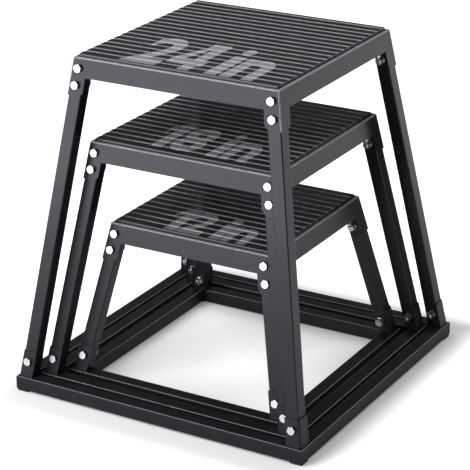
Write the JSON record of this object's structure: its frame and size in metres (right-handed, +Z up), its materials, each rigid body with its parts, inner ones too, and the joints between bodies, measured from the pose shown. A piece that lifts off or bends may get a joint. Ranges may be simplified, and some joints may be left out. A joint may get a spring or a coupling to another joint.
{
  "type": "plyo box",
  "caption": "Nesting set of open-frame steel plyometric boxes with ribbed rubber decks, leaning square-tube legs bolted to folded trays, and square base frames that lift off each other.",
  "frame": {"origin": "on the floor, at the middle of the nested bases", "axes": "+X along the front from left to right, +Y from front to back, +Z up"},
  "size_m": [0.577, 0.577, 0.6096],
  "materials": {
    "black_powder_coat": "satin black powder coat",
    "rubber_mat": "matt ribbed black rubber with light grey printed height marks",
    "rubber_feet": "matt black rubber",
    "zinc_fasteners": "bright zinc plate"
  },
  "bodies": {
    "large_box": {"large_tray": "black_powder_coat", "large_mat": "rubber_mat", "large_leg_front_left": "black_powder_coat", "large_socket_front_left": "black_powder_coat", "large_leg_front_right": "black_powder_coat", "large_socket_front_right": "black_powder_coat", "large_leg_rear_left": "black_powder_coat", "large_socket_rear_left": "black_powder_coat", "large_leg_rear_right": "black_powder_coat", "large_socket_rear_right": "black_powder_coat", "large_rail_front": "black_powder_coat", "large_rail_right": "black_powder_coat", "large_rail_rear": "black_powder_coat", "large_rail_left": "black_powder_coat", "large_feet": "rubber_feet", "large_bolts": "zinc_fasteners", "large_nuts": "zinc_fasteners"},
    "medium_box": {"medium_tray": "black_powder_coat", "medium_mat": "rubber_mat", "medium_leg_front_left": "black_powder_coat", "medium_socket_front_left": "black_powder_coat", "medium_leg_front_right": "black_powder_coat", "medium_socket_front_right": "black_powder_coat", "medium_leg_rear_left": "black_powder_coat", "medium_socket_rear_left": "black_powder_coat", "medium_leg_rear_right": "black_powder_coat", "medium_socket_rear_right": "black_powder_coat", "medium_rail_front": "black_powder_coat", "medium_rail_right": "black_powder_coat", "medium_rail_rear": "black_powder_coat", "medium_rail_left": "black_powder_coat", "medium_feet": "rubber_feet", "medium_bolts": "zinc_fasteners", "medium_nuts": "zinc_fasteners"},
    "small_box": {"small_tray": "black_powder_coat", "small_mat": "rubber_mat", "small_leg_front_left": "black_powder_coat", "small_socket_front_left": "black_powder_coat", "small_leg_front_right": "black_powder_coat", "small_socket_front_right": "black_powder_coat", "small_leg_rear_left": "black_powder_coat", "small_socket_rear_left": "black_powder_coat", "small_leg_rear_right": "black_powder_coat", "small_socket_rear_right": "black_powder_coat", "small_rail_front": "black_powder_coat", "small_rail_right": "black_powder_coat", "small_rail_rear": "black_powder_coat", "small_rail_left": "black_powder_coat", "small_feet": "rubber_feet", "small_bolts": "zinc_fasteners", "small_nuts": "zinc_fasteners"}
  },
  "joints": [
    {"name": "medium_lift", "type": "slide", "parent": "small_box", "child": "medium_box", "axis": [0, 0, 1], "range_m": [0, 0.32]},
    {"name": "large_lift", "type": "slide", "parent": "medium_box", "child": "large_box", "axis": [0, 0, 1], "range_m": [0, 0.475]}
  ]
}
